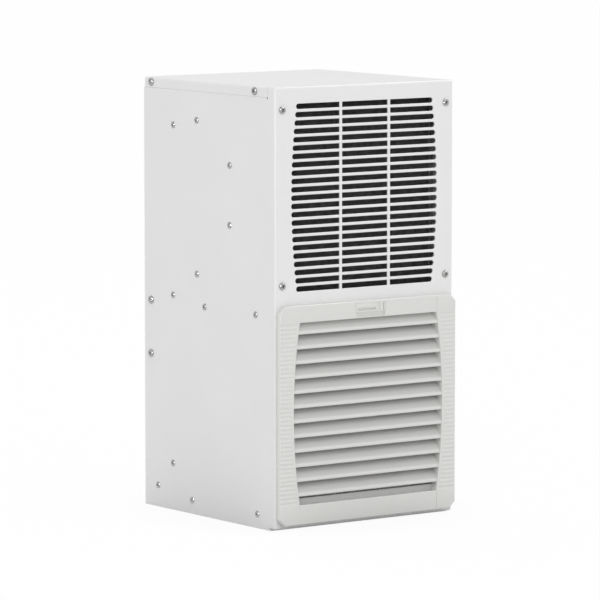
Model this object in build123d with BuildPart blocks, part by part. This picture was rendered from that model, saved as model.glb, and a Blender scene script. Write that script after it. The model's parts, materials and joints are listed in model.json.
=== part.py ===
from build123d import *
from math import sqrt
import os

os.makedirs("parts", exist_ok=True)

# Housing
housing_width = 255
housing_depth = 264
housing_height = 508
sheet = 1.5
bend_radius = 2.5
seam_gap = 0.5

# Top cover, and the front returns that it butts against
cover_flange = 12
front_return = 13.5
joggle_overlap = 4
joggle_clearance = 1

# Discharge slots in the upper front
slot_pitch = 9.52
slot_height = 6.0
punch_sides = 8
slot_side_margin = 22.9
slot_top_margin = 22.5
slot_bottom_margin = 17.1
slot_arc_radius = 783
slot_bar_x = 34.4
slot_bar_width = 3.6
front_screw_inset = 10.5
front_screw_rise = 22.5
front_screw_drop = 26
front_screw_hole = 5.5

# Filter cover on the lower front
filter_cover_reveal = 1
filter_cover_depth = 8.5
filter_cover_bottom_z = 6
filter_cover_chamfer = 8
filter_cover_wall = 2.5
cover_overlap = 4
edge_round = 2
rim_step_width = 1.2
rim_step_depth = 2.5
louvre_side_margin = 19.8
louvre_top_margin = 20
louvre_bottom_margin = 23
louvre_arc_radius = 650
blade_pitch = 16.9
blade_drop = 5
blade_nose = 2.8
blade_nose_chamfer = 0.8
blade_thickness = 2
blade_rise = 17
blade_run = 15
blade_crown = 1.5
blade_setback = 1
tunnel_wall = 2
tunnel_depth = 17
bar_recess = 0.6
window_margin = 14.5

# Blank release tab on the filter cover, above its finger recess
tab_centre_x = 2.5
tab_width = 43
tab_height = 12.5
tab_top_margin = 1.5
tab_thickness = 1.2
tab_chamfer = 1
tab_slot_x = -3
tab_slot_width = 20
tab_slot_height = 4
tab_slot_drop = 7.2
tab_slot_depth = 0.8
finger_recess_width = 40
finger_recess_height = 4.4
finger_recess_depth = 1.6

# Filter frame and mat behind the cover
fit_clearance = 0.5
filter_frame_depth = 22
filter_frame_wall = 2
filter_frame_lip = 6
filter_rib = 3
filter_rib_count = 4

# Rear pans that close the cabinet side
rear_flange = 34
rear_split_drop = 3
outlet_width = 170
outlet_height = 96
outlet_centre_z = 112
socket_width = 52
socket_height = 30
socket_inset_x = 54
socket_drop = 44
guard_slot_width = 6.5
guard_web = 4
guard_rings = 4
guard_hub_radius = 20
guard_spokes = 6
guard_spoke_width = 4

# Fixing nuts and sealing strip on the rear
nut_inset_x = 29.5
nut_low_z = 30
nut_drop = 28
nut_bore = 5
nut_body = 9
nut_flange = 13
nut_flange_thickness = 1
nut_length = 15
gasket_width = 10
gasket_thickness = 4
gasket_inset = 1

# Base pan and drain
base_z = 24.5
base_flange = 15
base_setback = 26
drain_x = 60
drain_neck = 14
drain_neck_drop = 3
drain_outer = 12
drain_bore = 9
drain_length = 22
drain_rim = 3

# Inner walls that the side rivets hold
inner_flange = 16
deck_drop = 17
deck_depth = 130
partition_setback = 66
shroud_setback = 116
shroud_rise = 7
shroud_opening = 152
inner_wall_drop = 20

# Condenser coil behind the slots
coil_side_room = 22
coil_setback = 15
coil_depth = 66
coil_rise = 11
coil_drop = 14
end_plate = 1.2
coil_bracket_rise = 4

# Evaporator coil and its tray behind the outlet
evaporator_side_room = 34
evaporator_depth = 34
evaporator_low_z = 44
evaporator_height = 150
evaporator_gap = 2
evaporator_foot = 12
tray_side_room = 22
tray_depth = 40
tray_height = 14

# Cabinet-side fan behind the punched guard
fan_outer = 134
fan_eye = 96
fan_blades = 7
fan_blade_bow = 3
fan_blade_sweep = 25
fan_plate = 1.5
round_sides = 36
fan_setback = 9
motor_diameter = 62
motor_length = 22
nozzle_plate = 150
nozzle_length = 13
nozzle_gap = 1.5

# Places worked out from the sizes above
overall_depth = filter_cover_depth + housing_depth + gasket_thickness
front_y = -overall_depth / 2 + filter_cover_depth
rear_y = front_y + housing_depth
cover_front_y = front_y - filter_cover_depth
half_width = housing_width / 2
inner_half_width = half_width - sheet
return_y = front_y + front_return
flange_z = housing_height - cover_flange
side_shoulder_z = flange_z - seam_gap
filter_cover_size = housing_width - 2 * filter_cover_reveal
filter_cover_top_z = filter_cover_bottom_z + filter_cover_size
filter_cover_centre_z = filter_cover_bottom_z + filter_cover_size / 2
panel_split_z = filter_cover_top_z - cover_overlap
window_size = filter_cover_size - 2 * window_margin
window_centre_z = filter_cover_centre_z
louvre_half_width = filter_cover_size / 2 - louvre_side_margin
louvre_low_z = filter_cover_bottom_z + louvre_bottom_margin
louvre_high_z = filter_cover_top_z - louvre_top_margin
louvre_height = louvre_high_z - louvre_low_z
louvre_centre_z = louvre_low_z + louvre_height / 2
blade_first_z = louvre_low_z - blade_drop
blade_count = int((louvre_high_z - blade_first_z) / blade_pitch) + 1
tab_top_z = filter_cover_top_z - tab_top_margin
tab_low_z = tab_top_z - tab_height
slot_low_z = filter_cover_top_z + slot_bottom_margin
slot_high_z = housing_height - slot_top_margin
slot_rows = round((slot_high_z - slot_low_z) / slot_pitch) + 1
slot_field_centre_z = (slot_low_z + slot_high_z) / 2
slot_field_half_width = half_width - slot_side_margin
front_screw_x = half_width - front_screw_inset
front_screw_low_z = filter_cover_top_z + front_screw_rise
front_screw_high_z = housing_height - front_screw_drop
rear_pan_front_y = rear_y - rear_flange
rear_split_z = panel_split_z - rear_split_drop
socket_centre_z = rear_split_z - socket_drop
intake_centre_z = (rear_split_z + flange_z) / 2
socket_centre_x = socket_inset_x - inner_half_width
nut_spacing_x = 2 * (half_width - nut_inset_x)
nut_high_z = housing_height - nut_drop
base_front_y = front_y + base_setback
partition_y = rear_y - partition_setback
drain_y = partition_y + sheet + tray_depth / 2
deck_z = panel_split_z - deck_drop
shroud_low_z = panel_split_z + shroud_rise
inner_wall_top_z = housing_height - inner_wall_drop
coil_half_width = inner_half_width - coil_side_room
coil_low_z = panel_split_z + coil_rise
coil_height = housing_height - coil_drop - coil_low_z
coil_bracket_low_z = coil_low_z + coil_bracket_rise
evaporator_half_width = inner_half_width - evaporator_side_room
tray_half_width = inner_half_width - tray_side_room
nozzle_radius = fan_eye / 2 - nozzle_gap


def arc_half_width(middle, radius, rise):
    """Half width of a field whose sides are arcs, at a height above its middle."""
    return middle - radius + sqrt(radius**2 - rise**2)


# Upper front: a shallow pan with the discharge slots
with BuildPart() as slotted_front_panel:
    with BuildSketch(Plane.XY.offset(panel_split_z)):
        with Locations((0, front_y)):
            Rectangle(housing_width, front_return, align=(Align.CENTER, Align.MIN))
    extrude(amount=housing_height - panel_split_z)
    upright_edges = slotted_front_panel.edges().filter_by(Axis.Z).group_by(Axis.Y)[0]
    top_edges = slotted_front_panel.faces().sort_by(Axis.Z)[-1].edges()
    back_edge = top_edges.sort_by(Axis.Y)[-1]
    fillet(upright_edges + [edge for edge in top_edges if edge != back_edge], bend_radius)
    open_back = slotted_front_panel.faces().sort_by(Axis.Y)[-1]
    open_bottom = slotted_front_panel.faces().sort_by(Axis.Z)[0]
    offset(amount=-sheet, openings=[open_back, open_bottom])
    with BuildSketch(Plane.XZ.offset(-front_y)):
        for row in range(slot_rows):
            rise = (row - (slot_rows - 1) / 2) * slot_pitch
            row_z = slot_field_centre_z + rise
            row_half_width = arc_half_width(slot_field_half_width, slot_arc_radius, rise)
            straight_end = row_half_width - slot_height / 2
            inner_end = slot_bar_x + slot_bar_width / 2
            with Locations((0, row_z)):
                Rectangle(2 * (slot_bar_x - slot_bar_width / 2), slot_height)
            for side in (-1, 1):
                middle = side * (straight_end + inner_end) / 2
                with Locations((middle, row_z)):
                    Rectangle(straight_end - inner_end, slot_height)
                with Locations((side * straight_end, row_z)):
                    RegularPolygon(
                        slot_height / 2,
                        punch_sides,
                        major_radius=False,
                        rotation=180 / punch_sides,
                    )
        screw_places = [
            (side * front_screw_x, z)
            for side in (-1, 1)
            for z in (front_screw_low_z, front_screw_high_z)
        ]
        with Locations(*screw_places):
            RegularPolygon(front_screw_hole / 2, punch_sides, major_radius=False)
    extrude(amount=-2 * sheet, mode=Mode.SUBTRACT)
slotted_front_panel.part.label = "slotted_front_panel"
export_step(slotted_front_panel.part, "parts/slotted_front_panel.step")

# Lower front: the same pan upside down, with the square filter window
with BuildPart() as lower_front_panel:
    with BuildSketch(Plane.XY):
        with Locations((0, front_y)):
            Rectangle(housing_width, front_return, align=(Align.CENTER, Align.MIN))
    extrude(amount=panel_split_z)
    upright_edges = lower_front_panel.edges().filter_by(Axis.Z).group_by(Axis.Y)[0]
    bottom_edges = lower_front_panel.faces().sort_by(Axis.Z)[0].edges()
    back_edge = bottom_edges.sort_by(Axis.Y)[-1]
    fillet(upright_edges + [edge for edge in bottom_edges if edge != back_edge], bend_radius)
    open_back = lower_front_panel.faces().sort_by(Axis.Y)[-1]
    open_top = lower_front_panel.faces().sort_by(Axis.Z)[-1]
    offset(amount=-sheet, openings=[open_back, open_top])
    with BuildSketch(Plane.XZ.offset(-front_y)):
        with Locations((0, window_centre_z)):
            Rectangle(window_size, window_size)
    extrude(amount=-2 * sheet, mode=Mode.SUBTRACT)
lower_front_panel.part.label = "lower_front_panel"
export_step(lower_front_panel.part, "parts/lower_front_panel.step")


def side_panel_profile(side):
    """Points of a side panel seen from the front, with the joggled strip at its top."""
    outside = side * half_width
    inside = side * inner_half_width
    behind = side * (inner_half_width - sheet)
    strip_top_z = housing_height - sheet - joggle_clearance
    return [
        (outside, 0),
        (outside, side_shoulder_z),
        (inside, side_shoulder_z),
        (inside, strip_top_z),
        (behind, strip_top_z),
        (behind, side_shoulder_z - joggle_overlap),
        (inside, side_shoulder_z - joggle_overlap - sheet),
        (inside, 0),
    ]


# Side panels
for side_name, side in (("left_side_panel", -1), ("right_side_panel", 1)):
    with BuildPart() as side_panel:
        with BuildSketch(Plane.XZ.offset(-return_y)):
            with BuildLine():
                Polyline(*side_panel_profile(side), close=True)
            make_face()
        extrude(amount=-(rear_y - return_y))
        with BuildSketch(Plane.XZ.offset(-rear_pan_front_y + fit_clearance)):
            with Locations((side * inner_half_width, side_shoulder_z)):
                Rectangle(2 * sheet, 2 * cover_flange)
        extrude(amount=-2 * rear_flange, mode=Mode.SUBTRACT)
        with BuildSketch(Plane.XZ.offset(-rear_pan_front_y + fit_clearance)):
            with Locations((side * (half_width - sheet / 2), 0)):
                Rectangle(sheet, side_shoulder_z, align=(Align.CENTER, Align.MIN))
        extrude(amount=-(rear_flange + fit_clearance))
    side_panel.part.label = side_name
    export_step(side_panel.part, f"parts/{side_name}.step")

# Top cover with flanges on both sides and the rear
with BuildPart() as top_cover:
    with BuildSketch(Plane.XY.offset(flange_z)):
        with Locations((0, return_y + seam_gap)):
            Rectangle(
                housing_width,
                rear_y - return_y - seam_gap,
                align=(Align.CENTER, Align.MIN),
            )
    extrude(amount=cover_flange)
    upright_edges = top_cover.edges().filter_by(Axis.Z).group_by(Axis.Y)[-1]
    top_edges = top_cover.faces().sort_by(Axis.Z)[-1].edges()
    front_edge = top_edges.sort_by(Axis.Y)[0]
    fillet(upright_edges + [edge for edge in top_edges if edge != front_edge], bend_radius)
    open_front = top_cover.faces().sort_by(Axis.Y)[0]
    open_bottom = top_cover.faces().sort_by(Axis.Z)[0]
    offset(amount=-sheet, openings=[open_front, open_bottom])
top_cover.part.label = "top_cover"
export_step(top_cover.part, "parts/top_cover.step")

# Base pan between the side panels, raised to leave room for the drain
with BuildPart() as base_pan:
    base_rear_y = rear_pan_front_y - fit_clearance
    with BuildSketch(Plane.XZ.offset(-base_front_y)):
        with Locations((0, base_z)):
            Rectangle(2 * inner_half_width, base_flange, align=(Align.CENTER, Align.MAX))
        with Locations((0, base_z - sheet)):
            Rectangle(
                2 * (inner_half_width - sheet),
                base_flange,
                align=(Align.CENTER, Align.MAX),
                mode=Mode.SUBTRACT,
            )
    extrude(amount=-(base_rear_y - base_front_y))
    outer_bends = base_pan.edges().filter_by(Axis.Y).group_by(Axis.Z)[-1]
    fillet(outer_bends, bend_radius)
    with BuildSketch(Plane.XY.offset(base_z)):
        with Locations((0, base_rear_y)):
            Rectangle(
                2 * (inner_half_width - sheet - fit_clearance),
                rear_y - sheet - base_rear_y,
                align=(Align.CENTER, Align.MIN),
            )
    extrude(amount=-sheet)
    with BuildSketch(Plane.XY.offset(base_z)):
        with Locations((drain_x, drain_y)):
            Circle(drain_neck / 2)
    extrude(amount=-2 * sheet, mode=Mode.SUBTRACT)
base_pan.part.label = "base_pan"
export_step(base_pan.part, "parts/base_pan.step")

# Tray under the evaporator
with BuildPart() as condensate_tray:
    with BuildSketch(Plane.XY.offset(base_z)):
        with Locations((0, drain_y)):
            Rectangle(2 * tray_half_width, tray_depth)
    extrude(amount=tray_height)
    with BuildSketch(Plane.XY.offset(base_z + sheet)):
        with Locations((0, drain_y)):
            Rectangle(2 * (tray_half_width - sheet), tray_depth - 2 * sheet)
    extrude(amount=tray_height, mode=Mode.SUBTRACT)
    with BuildSketch(Plane.XY.offset(base_z)):
        with Locations((drain_x, drain_y)):
            Circle(drain_neck / 2)
    extrude(amount=2 * sheet, mode=Mode.SUBTRACT)
condensate_tray.part.label = "condensate_tray"
export_step(condensate_tray.part, "parts/condensate_tray.step")

# Drain spigot through the tray and the base pan
with BuildPart() as drain_spigot:
    rim_z = base_z + sheet
    neck_low_z = base_z - sheet - drain_neck_drop
    spigot_section = [
        (drain_bore / 2, rim_z - drain_length),
        (drain_outer / 2, rim_z - drain_length),
        (drain_outer / 2, neck_low_z),
        (drain_neck / 2, neck_low_z),
        (drain_neck / 2, rim_z),
        (drain_neck / 2 + drain_rim, rim_z),
        (drain_neck / 2 + drain_rim, rim_z + sheet),
        (drain_bore / 2, rim_z + sheet),
    ]
    with BuildSketch(Plane((drain_x, drain_y, 0), x_dir=(1, 0, 0), z_dir=(0, -1, 0))):
        with BuildLine():
            Polyline(*spigot_section, close=True)
        make_face()
    revolve(axis=Axis((drain_x, drain_y, 0), (0, 0, 1)))
drain_spigot.part.label = "drain_spigot"
export_step(drain_spigot.part, "parts/drain_spigot.step")


def rear_pan_outline():
    """Channel section of a rear pan: the back and two flanges that run forwards."""
    with Locations((0, rear_y)):
        Rectangle(2 * inner_half_width, rear_flange, align=(Align.CENTER, Align.MAX))
    with Locations((0, rear_y - sheet)):
        Rectangle(
            2 * (inner_half_width - sheet),
            rear_flange,
            align=(Align.CENTER, Align.MAX),
            mode=Mode.SUBTRACT,
        )


# Upper rear pan with the punched intake guard
with BuildPart() as rear_intake_panel:
    with BuildSketch(Plane.XY.offset(rear_split_z)):
        rear_pan_outline()
    extrude(amount=flange_z - seam_gap - rear_split_z)
    rear_bends = rear_intake_panel.edges().filter_by(Axis.Z).group_by(Axis.Y)[-1]
    fillet(rear_bends, bend_radius)
    with BuildSketch(Plane.XZ.offset(-rear_y)):
        for ring in reversed(range(guard_rings)):
            ring_inner = guard_hub_radius + ring * (guard_slot_width + guard_web)
            with Locations((0, intake_centre_z)):
                Circle(ring_inner + guard_slot_width)
                Circle(ring_inner, mode=Mode.SUBTRACT)
        for spoke in range(guard_spokes // 2):
            with Locations((0, intake_centre_z)):
                Rectangle(
                    guard_spoke_width,
                    housing_width,
                    rotation=spoke * 360 / guard_spokes,
                    mode=Mode.SUBTRACT,
                )
    extrude(amount=-2 * sheet, both=True, mode=Mode.SUBTRACT)
    with BuildSketch(Plane.XZ.offset(-rear_y)):
        with Locations((-nut_spacing_x / 2, nut_high_z), (nut_spacing_x / 2, nut_high_z)):
            RegularPolygon(nut_body / 2, 6, major_radius=False)
    extrude(amount=-2 * sheet, both=True, mode=Mode.SUBTRACT)
rear_intake_panel.part.label = "rear_intake_panel"
export_step(rear_intake_panel.part, "parts/rear_intake_panel.step")

# Lower rear pan with the cold air outlet and the supply socket
with BuildPart() as rear_outlet_panel:
    with BuildSketch(Plane.XY):
        rear_pan_outline()
    extrude(amount=rear_split_z - seam_gap)
    rear_bends = rear_outlet_panel.edges().filter_by(Axis.Z).group_by(Axis.Y)[-1]
    fillet(rear_bends, bend_radius)
    with BuildSketch(Plane.XZ.offset(-rear_y)):
        with Locations((0, outlet_centre_z)):
            Rectangle(outlet_width, outlet_height)
        with Locations((socket_centre_x, socket_centre_z)):
            Rectangle(socket_width, socket_height)
        with Locations((-nut_spacing_x / 2, nut_low_z), (nut_spacing_x / 2, nut_low_z)):
            RegularPolygon(nut_body / 2, 6, major_radius=False)
    extrude(amount=-2 * sheet, both=True, mode=Mode.SUBTRACT)
rear_outlet_panel.part.label = "rear_outlet_panel"
export_step(rear_outlet_panel.part, "parts/rear_outlet_panel.step")

# Four hexagonal rivet nuts that take the fixing bolts from the cabinet side
with BuildPart() as mounting_nuts:
    nut_places = [
        (side * nut_spacing_x / 2, z) for side in (-1, 1) for z in (nut_low_z, nut_high_z)
    ]
    with BuildSketch(Plane.XZ.offset(-rear_y)):
        with Locations(*nut_places):
            RegularPolygon(nut_flange / 2, 2 * punch_sides, major_radius=False)
            Circle(nut_bore / 2, mode=Mode.SUBTRACT)
    extrude(amount=-nut_flange_thickness)
    with BuildSketch(Plane.XZ.offset(-rear_y)):
        with Locations(*nut_places):
            RegularPolygon(nut_body / 2, 6, major_radius=False)
            Circle(nut_bore / 2, mode=Mode.SUBTRACT)
    extrude(amount=nut_length)
mounting_nuts.part.label = "mounting_nuts"
export_step(mounting_nuts.part, "parts/mounting_nuts.step")

# Foam sealing strips round the edge of the rear
with BuildPart() as rear_gasket:
    strip_outer_x = inner_half_width - bend_radius
    strip_top_z = housing_height - bend_radius - gasket_inset
    with BuildSketch(Plane.XZ.offset(-rear_y)):
        with Locations((0, strip_top_z)):
            Rectangle(2 * strip_outer_x, gasket_width - gasket_inset, align=(Align.CENTER, Align.MAX))
        with Locations((0, gasket_inset)):
            Rectangle(2 * strip_outer_x, gasket_width, align=(Align.CENTER, Align.MIN))
        side_low_z = gasket_inset + gasket_width + seam_gap
        side_high_z = strip_top_z - gasket_width - seam_gap
        for side in (-1, 1):
            with Locations((side * (strip_outer_x - gasket_width / 2), side_low_z)):
                Rectangle(
                    gasket_width, side_high_z - side_low_z, align=(Align.CENTER, Align.MIN)
                )
    extrude(amount=-gasket_thickness)
rear_gasket.part.label = "rear_gasket"
export_step(rear_gasket.part, "parts/rear_gasket.step")


def blade_section(nose_z):
    """Points of one louvre blade in section: a nose, then a crowned rise to the rear."""
    nose_y = cover_front_y + blade_setback
    middle_y = nose_y + blade_run / 2
    middle_z = nose_z + blade_rise / 2 + blade_crown
    return [
        (nose_y, nose_z),
        (nose_y, nose_z + blade_nose),
        (middle_y, middle_z + blade_thickness),
        (nose_y + blade_run, nose_z + blade_rise + blade_thickness),
        (nose_y + blade_run, nose_z + blade_rise),
        (middle_y + blade_thickness / 2, middle_z),
        (nose_y + blade_nose, nose_z),
    ]


def louvre_outline(margin):
    """Opening of the filter cover: flat at the top and bottom, its sides bowed out."""
    low_z = louvre_low_z - margin
    high_z = louvre_high_z + margin
    middle = louvre_half_width + margin
    end = arc_half_width(middle, louvre_arc_radius, louvre_height / 2)
    with BuildLine() as outline:
        Line((-end, high_z), (end, high_z))
        ThreePointArc((end, high_z), (middle, louvre_centre_z), (end, low_z))
        Line((end, low_z), (-end, low_z))
        ThreePointArc((-end, low_z), (-middle, louvre_centre_z), (-end, high_z))
    return outline.edges()


# Louvre blades, cut to the arched opening
with BuildPart() as louvre_blades:
    with BuildSketch(Plane.YZ.offset(-half_width)) as blade_profiles:
        for blade in range(blade_count):
            with BuildLine():
                Polyline(*blade_section(blade_first_z + blade * blade_pitch), close=True)
            make_face()
        chamfer(blade_profiles.vertices().group_by(Axis.X)[0], blade_nose_chamfer)
    extrude(amount=housing_width)
    with BuildSketch(Plane.XZ.offset(-cover_front_y)):
        make_face(louvre_outline(tunnel_wall / 2))
    extrude(amount=-tunnel_depth, mode=Mode.INTERSECT)

# Filter cover: rim, side strips, recessed bars, arched tunnel and blades in one moulding
with BuildPart() as filter_cover:
    with BuildSketch(Plane.XZ.offset(-cover_front_y)) as cover_outline:
        with Locations((0, filter_cover_centre_z)):
            Rectangle(filter_cover_size, filter_cover_size)
        chamfer(cover_outline.vertices(), filter_cover_chamfer)
    extrude(amount=-(filter_cover_depth - rim_step_depth))
    fillet(filter_cover.faces().sort_by(Axis.Y)[0].edges(), edge_round)
    with BuildSketch(Plane.XZ.offset(-front_y)) as rim_step:
        with Locations((0, filter_cover_centre_z)):
            step_size = filter_cover_size - 2 * rim_step_width
            Rectangle(step_size, step_size)
        chamfer(rim_step.vertices(), filter_cover_chamfer)
    extrude(amount=rim_step_depth)
    with BuildSketch(Plane.XZ.offset(-cover_front_y - filter_cover_wall)) as cover_inside:
        with Locations((0, filter_cover_centre_z)):
            inside_size = filter_cover_size - 2 * filter_cover_wall - 2 * rim_step_width
            Rectangle(inside_size, inside_size)
        chamfer(cover_inside.vertices(), filter_cover_chamfer)
    extrude(amount=-filter_cover_depth, mode=Mode.SUBTRACT)
    with BuildSketch(Plane.XZ.offset(-cover_front_y - filter_cover_wall)):
        make_face(louvre_outline(tunnel_wall))
    extrude(amount=-(tunnel_depth - filter_cover_wall))
    with BuildSketch(Plane.XZ.offset(-cover_front_y)):
        make_face(louvre_outline(0))
    extrude(amount=-tunnel_depth, mode=Mode.SUBTRACT)
    with BuildSketch(Plane.XZ.offset(-cover_front_y)):
        bar_half_width = arc_half_width(louvre_half_width, louvre_arc_radius, louvre_height / 2)
        with Locations((0, louvre_high_z)):
            Rectangle(2 * bar_half_width, louvre_top_margin, align=(Align.CENTER, Align.MIN))
        with Locations((0, louvre_low_z)):
            Rectangle(2 * bar_half_width, louvre_bottom_margin, align=(Align.CENTER, Align.MAX))
    extrude(amount=-bar_recess, mode=Mode.SUBTRACT)
    with BuildSketch(Plane.XZ.offset(-cover_front_y)):
        with Locations((tab_centre_x, tab_low_z)):
            Rectangle(tab_width, tab_height, align=(Align.CENTER, Align.MIN))
    extrude(amount=-tab_thickness, mode=Mode.SUBTRACT)
    with BuildSketch(Plane.XZ.offset(-cover_front_y)):
        with Locations((tab_centre_x, tab_low_z)):
            Rectangle(
                finger_recess_width, finger_recess_height, align=(Align.CENTER, Align.MAX)
            )
    extrude(amount=-finger_recess_depth, mode=Mode.SUBTRACT)
    add(louvre_blades.part)
filter_cover.part.label = "filter_cover"
export_step(filter_cover.part, "parts/filter_cover.step")

# Blank release tab in its pocket on the top bar of the filter cover
with BuildPart() as release_tab:
    with BuildSketch(Plane.XZ.offset(-cover_front_y - tab_thickness)):
        with Locations((tab_centre_x, tab_low_z)):
            Rectangle(tab_width, tab_height, align=(Align.CENTER, Align.MIN))
    extrude(amount=tab_thickness)
    tab_corners = release_tab.edges().filter_by(Axis.Y)
    chamfer(tab_corners, tab_chamfer)
    with BuildSketch(Plane.XZ.offset(-cover_front_y)):
        with Locations((tab_centre_x + tab_slot_x, tab_top_z - tab_slot_drop)):
            Rectangle(tab_slot_width, tab_slot_height, align=(Align.CENTER, Align.MAX))
    extrude(amount=-tab_slot_depth, mode=Mode.SUBTRACT)
release_tab.part.label = "release_tab"
export_step(release_tab.part, "parts/release_tab.step")

# Filter frame that stands in the window behind the cover
with BuildPart() as filter_frame:
    frame_size = window_size - 2 * fit_clearance
    frame_inside = frame_size - 2 * filter_frame_wall
    with BuildSketch(Plane.XZ.offset(-front_y)):
        with Locations((0, window_centre_z)):
            Rectangle(frame_size + 2 * filter_frame_lip, frame_size + 2 * filter_frame_lip)
            Rectangle(frame_inside, frame_inside, mode=Mode.SUBTRACT)
    extrude(amount=sheet)
    with BuildSketch(Plane.XZ.offset(-front_y)):
        with Locations((0, window_centre_z)):
            Rectangle(frame_size, frame_size)
            Rectangle(frame_inside, frame_inside, mode=Mode.SUBTRACT)
    extrude(amount=-filter_frame_depth)
    with BuildSketch(Plane.XZ.offset(-front_y - filter_frame_depth + filter_rib)):
        rib_pitch = frame_size / (filter_rib_count + 1)
        with Locations((0, window_centre_z)):
            with GridLocations(rib_pitch, 0, filter_rib_count, 1):
                Rectangle(filter_rib, frame_size - filter_frame_wall)
            with GridLocations(0, rib_pitch, 1, filter_rib_count):
                Rectangle(frame_size - filter_frame_wall, filter_rib)
    extrude(amount=-filter_rib)
filter_frame.part.label = "filter_frame"
export_step(filter_frame.part, "parts/filter_frame.step")

# Filter mat that lies on the ribs of the frame
with BuildPart() as filter_mat:
    mat_rear_y = front_y + filter_frame_depth - filter_rib
    mat_front_y = front_y + tunnel_depth - filter_cover_depth + fit_clearance
    with BuildSketch(Plane.XZ.offset(-mat_front_y)):
        with Locations((0, window_centre_z)):
            Rectangle(frame_inside - 2 * fit_clearance, frame_inside - 2 * fit_clearance)
    extrude(amount=-(mat_rear_y - mat_front_y))
filter_mat.part.label = "filter_mat"
export_step(filter_mat.part, "parts/filter_mat.step")


def wall_channel(front):
    """Channel section of an inner wall: a sheet with two flanges along the sides."""
    with Locations((0, front)):
        Rectangle(2 * inner_half_width, inner_flange, align=(Align.CENTER, Align.MIN))
    with Locations((0, front + sheet)):
        Rectangle(
            2 * (inner_half_width - sheet),
            inner_flange,
            align=(Align.CENTER, Align.MIN),
            mode=Mode.SUBTRACT,
        )


# Partition between the room side and the cabinet side
with BuildPart() as partition_wall:
    with BuildSketch(Plane.XY.offset(base_z)):
        wall_channel(partition_y)
    extrude(amount=inner_wall_top_z - base_z)
partition_wall.part.label = "partition_wall"
export_step(partition_wall.part, "parts/partition_wall.step")

# Fan shroud behind the condenser
with BuildPart() as fan_shroud:
    shroud_y = rear_y - shroud_setback
    with BuildSketch(Plane.XY.offset(shroud_low_z)):
        wall_channel(shroud_y)
    extrude(amount=inner_wall_top_z - shroud_low_z)
    with BuildSketch(Plane.XZ.offset(-shroud_y)):
        with Locations((0, coil_low_z + coil_height / 2)):
            RegularPolygon(shroud_opening / 2, round_sides, major_radius=False)
    extrude(amount=-2 * sheet, mode=Mode.SUBTRACT)
fan_shroud.part.label = "fan_shroud"
export_step(fan_shroud.part, "parts/fan_shroud.step")

# Deck between the filter chamber and the condenser chamber
with BuildPart() as middle_deck:
    with BuildSketch(Plane.XZ.offset(-base_front_y)):
        with Locations((0, deck_z)):
            Rectangle(2 * inner_half_width, inner_flange, align=(Align.CENTER, Align.MIN))
        with Locations((0, deck_z + sheet)):
            Rectangle(
                2 * (inner_half_width - sheet),
                inner_flange,
                align=(Align.CENTER, Align.MIN),
                mode=Mode.SUBTRACT,
            )
    extrude(amount=-deck_depth)
middle_deck.part.label = "middle_deck"
export_step(middle_deck.part, "parts/middle_deck.step")

# Condenser coil: fin pack and two end plates with brackets to the side panels
coil_front_y = front_y + coil_setback
coil_rear_y = coil_front_y + coil_depth
with BuildPart() as condenser_fins:
    with BuildSketch(Plane.XY.offset(coil_low_z)):
        with Locations((0, coil_front_y)):
            Rectangle(2 * coil_half_width, coil_depth, align=(Align.CENTER, Align.MIN))
    extrude(amount=coil_height)
condenser_fins.part.label = "condenser_fins"
export_step(condenser_fins.part, "parts/condenser_fins.step")

for side_name, side in (("left", -1), ("right", 1)):
    with BuildPart() as end_bracket:
        with BuildSketch(Plane.XY.offset(coil_low_z)):
            with Locations((side * (coil_half_width + end_plate / 2), coil_front_y)):
                Rectangle(end_plate, coil_depth, align=(Align.CENTER, Align.MIN))
        extrude(amount=coil_height)
        with BuildSketch(Plane.XY.offset(coil_bracket_low_z)):
            bracket_width = inner_half_width - coil_half_width
            with Locations((side * (coil_half_width + bracket_width / 2), coil_rear_y)):
                Rectangle(bracket_width, end_plate, align=(Align.CENTER, Align.MAX))
            with Locations((side * (inner_half_width - end_plate / 2), coil_rear_y - end_plate)):
                Rectangle(end_plate, inner_flange, align=(Align.CENTER, Align.MIN))
        extrude(amount=inner_wall_top_z - coil_bracket_low_z)
    end_bracket.part.label = f"condenser_end_plate_{side_name}"
    export_step(end_bracket.part, f"parts/condenser_end_plate_{side_name}.step")

# Evaporator coil behind the cold air outlet
evaporator_front_y = partition_y + sheet + evaporator_gap
with BuildPart() as evaporator_fins:
    with BuildSketch(Plane.XY.offset(evaporator_low_z)):
        with Locations((0, evaporator_front_y)):
            Rectangle(
                2 * evaporator_half_width, evaporator_depth, align=(Align.CENTER, Align.MIN)
            )
    extrude(amount=evaporator_height)
evaporator_fins.part.label = "evaporator_fins"
export_step(evaporator_fins.part, "parts/evaporator_fins.step")

with BuildPart() as evaporator_end_plates:
    with BuildSketch(Plane.XY.offset(evaporator_low_z)):
        for side in (-1, 1):
            with Locations((side * (evaporator_half_width + end_plate / 2), partition_y + sheet)):
                Rectangle(
                    end_plate, evaporator_depth + evaporator_gap, align=(Align.CENTER, Align.MIN)
                )
            with Locations(
                (side * (evaporator_half_width + evaporator_foot / 2), partition_y + sheet)
            ):
                Rectangle(evaporator_foot, end_plate, align=(Align.CENTER, Align.MIN))
    extrude(amount=evaporator_height)
evaporator_end_plates.part.label = "evaporator_end_plates"
export_step(evaporator_end_plates.part, "parts/evaporator_end_plates.step")

# Cabinet-side fan: motor on the partition, impeller and inlet nozzle
motor_front_y = partition_y + sheet
impeller_front_y = motor_front_y + motor_length
impeller_rear_y = rear_y - sheet - fan_setback
with BuildPart() as fan_motor:
    with BuildSketch(Plane.XZ.offset(-motor_front_y)):
        with Locations((0, intake_centre_z)):
            RegularPolygon(motor_diameter / 2, round_sides, major_radius=False)
    extrude(amount=-motor_length)
fan_motor.part.label = "fan_motor"
export_step(fan_motor.part, "parts/fan_motor.step")


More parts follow.
